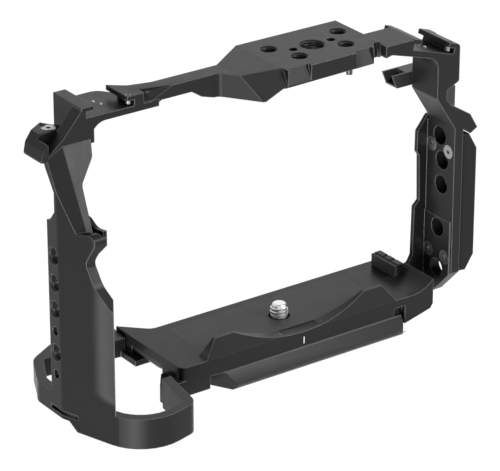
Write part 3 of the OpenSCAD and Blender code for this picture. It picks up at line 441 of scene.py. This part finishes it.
def wound(profile, low, pitch, steps, count):
    """A profile of (radius, share of the pitch) wound up the Z axis: count steps, with steps to a turn."""
    bm = bmesh.new()
    points = [bm.verts.new((radius, 0, low + share * pitch)) for radius, share in profile]
    line = [bm.edges.new(pair) for pair in zip(points, points[1:])]
    bmesh.ops.spin(bm, geom=points + line, cent=(0, 0, 0), axis=(0, 0, 1), dvec=(0, 0, pitch / steps),
        angle=2 * math.pi * count / steps, steps=count)
    return bm


# Operators
class CAGE_OT_frame(bpy.types.Operator):
    """Dress the frame's four limbs as one"""
    bl_idname = "cage.frame"
    bl_label = "Frame"

    def execute(self, context):
        limbs = ("grip_frame", "top_bridge", "side_frame", "base_plate")
        obj = united("frame", limbs, coat_metal())
        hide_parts(*limbs)
        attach(obj, "cage")
        return {"FINISHED"}


class CAGE_OT_metal(bpy.types.Operator):
    """Dress the coated pieces on the frame"""
    bl_idname = "cage.metal"
    bl_label = "Coated pieces"

    def execute(self, context):
        edge = context.scene.cage_look.edge
        for node in ("quick_release_foot", "side_rail", "lens_side_stop", "strap_lug"):
            obj = bevelled(new_piece(f"{node}_dressed", node_mesh(node), coat_metal()), edge)
            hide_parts(node)
            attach(obj, "cage")
        return {"FINISHED"}


class CAGE_OT_small(bpy.types.Operator):
    """Give the small pieces their materials"""
    bl_idname = "cage.small"
    bl_label = "Small pieces"

    def execute(self, context):
        looks = {
            head_steel: ("foot_screws", "screw_clip", "ring_screws", "bridge_screws", "side_rail_screws",
                "shoe_stop_screws", "shoe_balls", "strap_lug_screw", "clamp_screw", "clamp_jaw",
                "clamp_mount_screw"),
            dark_steel: ("locating_peg", "hex_key"),
            magnet_metal: ("key_magnets",),
            rubber: ("seat_pad", "stop_pad"),
            moulded: ("clamp_base",),
        }
        for material, nodes in looks.items():
            for node in nodes:
                slots = frame["nodes"][node].data.materials
                slots.clear()
                slots.append(material())
        return {"FINISHED"}


class CAGE_OT_screw(bpy.types.Operator):
    """Turn down the camera screw and wind its thread"""
    bl_idname = "cage.screw"
    bl_label = "Camera screw"

    def execute(self, context):
        look = context.scene.cage_look
        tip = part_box("camera_screw")[1].z
        core = SCREW_R - look.thread_depth
        bm = node_mesh("camera_screw")
        for v in bm.verts:
            if v.co.z > 0 and v.co.xy.length > SCREW_OUTSIDE_R:
                v.co.xy = v.co.xy.normalized() * core
        crest = [e for e in bm.edges if min(v.co.z for v in e.verts) > tip - HAIR
            and min(v.co.xy.length for v in e.verts) > core / 2]
        bmesh.ops.bevel(bm, geom=crest, offset=TIP_ROUND, offset_type="OFFSET", affect="EDGES",
            segments=TIP_STEPS, profile=0.5, material=-1)
        obj = new_piece("camera_screw_core", bm, bright_steel())
        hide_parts("camera_screw")
        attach(obj, "screw")
        self.thread(core, tip - THREAD_FROM_TIP, look.pitch)
        return {"FINISHED"}

    def thread(self, core, top, pitch):
        """A ridge wound up the core, which fades out at both ends."""
        root = core - SUNK
        first, last = SCREW_FOOT_SHARES
        profile = ((root, first), *((SCREW_R, share) for share in SCREW_CREST_SHARES), (root, last))
        count = int(THREAD_STEPS * (top - THREAD_LOW) / pitch)
        bm = wound(profile, THREAD_LOW - pitch / 2, pitch, THREAD_STEPS, count)
        for v in bm.verts:
            if v.co.xy.length > core:
                turn = self.turns(v, pitch)
                fade = min(1, turn / FADE_IN, (count / THREAD_STEPS - turn) / FADE_OUT)
                v.co.xy = v.co.xy.normalized() * (root + (SCREW_R - core) * max(0, fade))
            v.co.z = min(v.co.z, top)
        bmesh.ops.recalc_face_normals(bm, faces=bm.faces)
        obj = new_piece("camera_screw_thread", bm, bright_steel(), sharp=THREAD_SHARP)
        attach(obj, "screw")

    def turns(self, v, pitch):
        """How many turns up the thread a corner of its crest lies."""
        part = math.atan2(v.co.y, v.co.x) / (2 * math.pi)
        return part + round((v.co.z - THREAD_LOW) / pitch - part)


class CAGE_OT_threads(bpy.types.Operator):
    """Wind a fine ridge into each threaded hole"""
    bl_idname = "cage.threads"
    bl_label = "Threads of the holes"

    def execute(self, context):
        for mount in frame["record"]["mounts"]:
            if mount["kind"] != "threaded_hole":
                continue
            radius, length = (mount["dims"][key] * MM for key in ("r_mm", "length_mm"))
            pitch = context.scene.cage_look.pitch * (COARSER if radius > LARGE_R else 1)
            obj = new_piece(f"thread_{mount['name']}", self.ridge(radius, length, pitch), coat_metal(),
                sharp=HOLE_SHARP)
            turn = Vector(mount["axis"]).to_track_quat("Z", "Y").to_matrix().to_4x4()
            obj.data.transform(Matrix.Translation(mount["pos_m"]) @ turn)
            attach(obj, "cage")
        return {"FINISHED"}

    def ridge(self, radius, length, pitch):
        """A sharp ridge that stands a little out of the hole's wall, centred on the mount."""
        first, last = HOLE_FOOT_SHARES
        profile = ((radius + SUNK, first), (radius - HOLE_RISE_SHARE * pitch, 0.5), (radius + SUNK, last))
        count = int(HOLE_STEPS * (length - pitch) / pitch)
        bm = wound(profile, -length / 2, pitch, HOLE_STEPS, count)
        bmesh.ops.recalc_face_normals(bm, faces=bm.faces)
        return bm


class CAGE_OT_marks(bpy.types.Operator):
    """Paint the tick line at the lens axis"""
    bl_idname = "cage.marks"
    bl_label = "Tick line"

    def execute(self, context):
        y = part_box("base_plate")[0].y - TICK_PROUD
        low, high = TICK_Z
        bm = bmesh.new()
        corners = [bm.verts.new((TICK_X + side * TICK_HALF, y, z))
            for side, z in ((-1, low), (1, low), (1, high), (-1, high))]
        face = bm.faces.new(corners)
        back = bmesh.ops.extrude_face_region(bm, geom=[face])
        moved = [v for v in back["geom"] if isinstance(v, bmesh.types.BMVert)]
        bmesh.ops.translate(bm, verts=moved, vec=(0, TICK_THICK, 0))
        bmesh.ops.recalc_face_normals(bm, faces=bm.faces)
        obj = new_piece("lens_tick", bm, tick_paint())
        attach(obj, "cage")
        return {"FINISHED"}


class CAGE_OT_stage(bpy.types.Operator):
    """Set the floor, the lights and the photograph's camera"""
    bl_idname = "cage.stage"
    bl_label = "Stage"

    def execute(self, context):
        scene = context.scene
        scene.view_settings.view_transform = "Standard"
        self.camera(scene)
        self.room(scene)
        self.floor(scene)
        for spec in LIGHTS:
            self.light(scene, *spec)
        return {"FINISHED"}

    def camera(self, scene):
        """The camera, where the photograph was taken from."""
        camera = bpy.data.cameras.new("camera")
        camera.sensor_width = SENSOR
        camera.lens = FOCAL_PX / PHOTO_WIDTH * SENSOR
        camera.clip_start = NEAREST
        camera.clip_end = FARTHEST
        eye = bpy.data.objects.new("camera", camera)
        scene.collection.objects.link(eye)
        eye.location = Vector(CAMERA_AT) * MM
        yaw, pitch = math.radians(CAMERA_YAW), math.radians(CAMERA_PITCH)
        ahead = Vector((math.sin(yaw) * math.cos(pitch), math.cos(yaw) * math.cos(pitch), -math.sin(pitch)))
        eye.rotation_mode = "QUATERNION"
        eye.rotation_quaternion = ahead.to_track_quat("-Z", "Y")
        scene.camera = eye

    def room(self, scene):
        """A room of soft light that shows as the backdrop."""
        world = bpy.data.worlds.new("room")
        world.use_nodes = True
        scene.world = world
        tree = world.node_tree
        soft = tree.nodes["Background"]
        soft.inputs["Color"].default_value = (1, 1, 1, 1)
        soft.inputs["Strength"].default_value = scene.cage_stage.ambient
        seen = tree.nodes.new("ShaderNodeBackground")
        seen.inputs["Color"].default_value = (*scene.cage_stage.backdrop, 1)
        mixed(tree, seen_rays(tree), soft.outputs["Background"], seen.outputs["Background"], "World Output")

    def floor(self, scene):
        """A floor that shows as the backdrop, with a trace of the cage's shadow."""
        mat = bpy.data.materials.new("floor")
        mat.use_nodes = True
        tree = mat.node_tree
        shader = tree.nodes["Principled BSDF"]
        shader.inputs["Base Color"].default_value = (FLOOR_GREY, FLOOR_GREY, FLOOR_GREY, 1)
        shader.inputs["Roughness"].default_value = FLOOR_ROUGH
        glow = tree.nodes.new("ShaderNodeEmission")
        glow.inputs["Color"].default_value = (*scene.cage_stage.backdrop, 1)
        glow.inputs["Strength"].default_value = FLOOR_GLOW
        share = reckoned(tree, "MULTIPLY", seen_rays(tree), FLOOR_GLOW_SHARE)
        mixed(tree, share, shader.outputs["BSDF"], glow.outputs["Emission"], "Material Output")
        bm = bmesh.new()
        bmesh.ops.create_circle(bm, cap_ends=True, segments=FLOOR_SIDES, radius=FLOOR_R)
        obj = new_piece("floor", bm, mat)
        obj.location.z = CAD_BOX[0].z - FLOOR_DROP
        obj.visible_shadow = False

    def light(self, scene, name, direction, width, height, power):
        """A softbox that faces the cage's middle."""
        data = bpy.data.lights.new(name, "AREA")
        data.shape = "RECTANGLE"
        data.size = width
        data.size_y = height
        data.energy = power
        obj = bpy.data.objects.new(name, data)
        scene.collection.objects.link(obj)
        way = Vector(direction).normalized()
        obj.location = CAGE_MIDDLE + way * LIGHT_DISTANCE
        obj.rotation_mode = "QUATERNION"
        obj.rotation_quaternion = (-way).to_track_quat("-Z", "Y")


class CAGE_PT_panel(bpy.types.Panel):
    """The looks, the stage and the operators that make them"""
    bl_label = "Camera cage"
    bl_idname = "CAGE_PT_panel"
    bl_space_type = "VIEW_3D"
    bl_region_type = "UI"
    bl_category = "Cage"

    def draw(self, context):
        layout = self.layout
        for group in (context.scene.cage_look, context.scene.cage_stage):
            for key in group.bl_rna.properties.keys():
                if key not in ("rna_type", "name"):
                    layout.prop(group, key)
        for operator in OPERATORS:
            layout.operator(operator.bl_idname)


OPERATORS = (CAGE_OT_stage, CAGE_OT_frame, CAGE_OT_metal, CAGE_OT_small, CAGE_OT_screw, CAGE_OT_threads,
    CAGE_OT_marks)
CLASSES = (CageLook, CageStage, *OPERATORS, CAGE_PT_panel)


def register():
    for cls in CLASSES:
        bpy.utils.register_class(cls)
    bpy.types.Scene.cage_look = bpy.props.PointerProperty(type=CageLook)
    bpy.types.Scene.cage_stage = bpy.props.PointerProperty(type=CageStage)


def unregister():
    del bpy.types.Scene.cage_stage
    del bpy.types.Scene.cage_look
    for cls in reversed(CLASSES):
        bpy.utils.unregister_class(cls)


def main():
    register()
    bpy.ops.cage.stage()
    bpy.ops.cage.frame()
    bpy.ops.cage.metal()
    bpy.ops.cage.small()
    bpy.ops.cage.screw()
    bpy.ops.cage.threads()
    bpy.ops.cage.marks()


if __name__ == "__main__":
    main()
